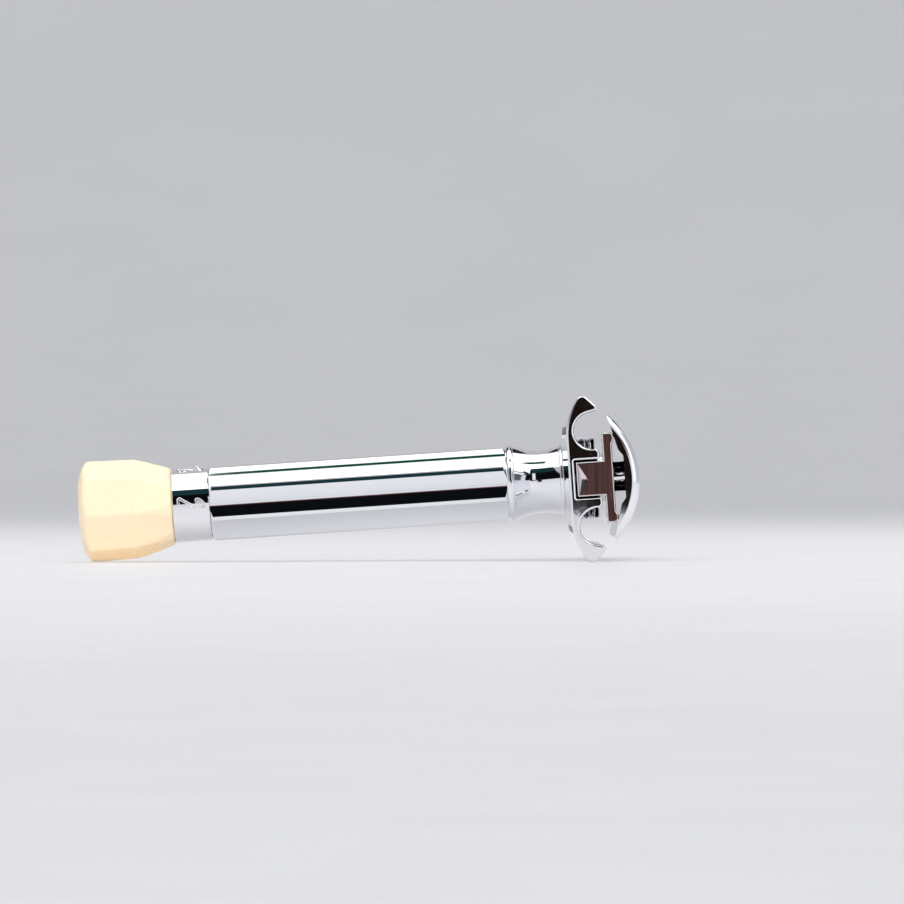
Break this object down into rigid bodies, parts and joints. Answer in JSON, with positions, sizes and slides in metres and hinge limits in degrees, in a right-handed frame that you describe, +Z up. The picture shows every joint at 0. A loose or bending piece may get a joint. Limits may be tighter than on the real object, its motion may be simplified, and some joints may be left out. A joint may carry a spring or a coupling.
{
  "type": "adjustable safety razor",
  "caption": "Adjustable double-edge safety razor: fluted chrome handle with a faceted cream knob that turns a numbered ring and raises the blade bed and cap over an open-ended guard plate.",
  "frame": {"origin": "centre of the footprint's bounding box on the surface the razor lies on", "axes": "+X along the handle's length towards the cap, +Y along the blade edges, +Z up. The razor lies on its guard bar and the rim of its knob, so the handle's axis rises 3.60 degrees towards the cap."},
  "size_m": [0.0944, 0.042, 0.0275],
  "materials": {
    "knob_plastic": "cream moulded plastic with a soft gloss",
    "chrome_plate": "bright chrome plate over cast and turned metal",
    "brass": "machined brass",
    "steel": "turned or drawn steel"
  },
  "bodies": {
    "handle": {"barrel": "chrome_plate", "lower_bush": "brass", "upper_bush": "brass", "neck": "chrome_plate", "neck_spacer": "chrome_plate", "lower_spring_washer": "steel", "bed_spring": "steel", "base_plate": "chrome_plate"},
    "dial": {"knob": "knob_plastic", "knob_insert": "brass", "drive_pin": "steel", "number_ring": "chrome_plate", "index_pin": "chrome_plate", "friction_washer": "steel", "drive_rod": "steel", "thread_insert": "brass", "circlip": "steel"},
    "bed": {"blade_bed": "chrome_plate", "upper_spring_washer": "steel"},
    "cap": {"cap": "chrome_plate", "cap_stud": "chrome_plate", "cap_pins": "chrome_plate"}
  },
  "joints": [
    {"name": "knob_turn", "type": "hinge", "parent": "handle", "child": "dial", "pos_m": [-0.0248, 0, 0.00978], "axis": [0.998, 0, 0.0629], "range_deg": [-270.1, 90.1]},
    {"name": "bed_slide", "type": "slide", "parent": "handle", "child": "bed", "axis": [0.998, 0, 0.0629], "range_m": [-0.0002, 0.0006]},
    {"name": "cap_lift", "type": "slide", "parent": "bed", "child": "cap", "axis": [0.998, 0, 0.0629], "range_m": [0, 0.03]}
  ],
  "couplings": [
    {"joint": "knob_turn", "follows": "bed_slide", "rad_per_m": -7854}
  ]
}
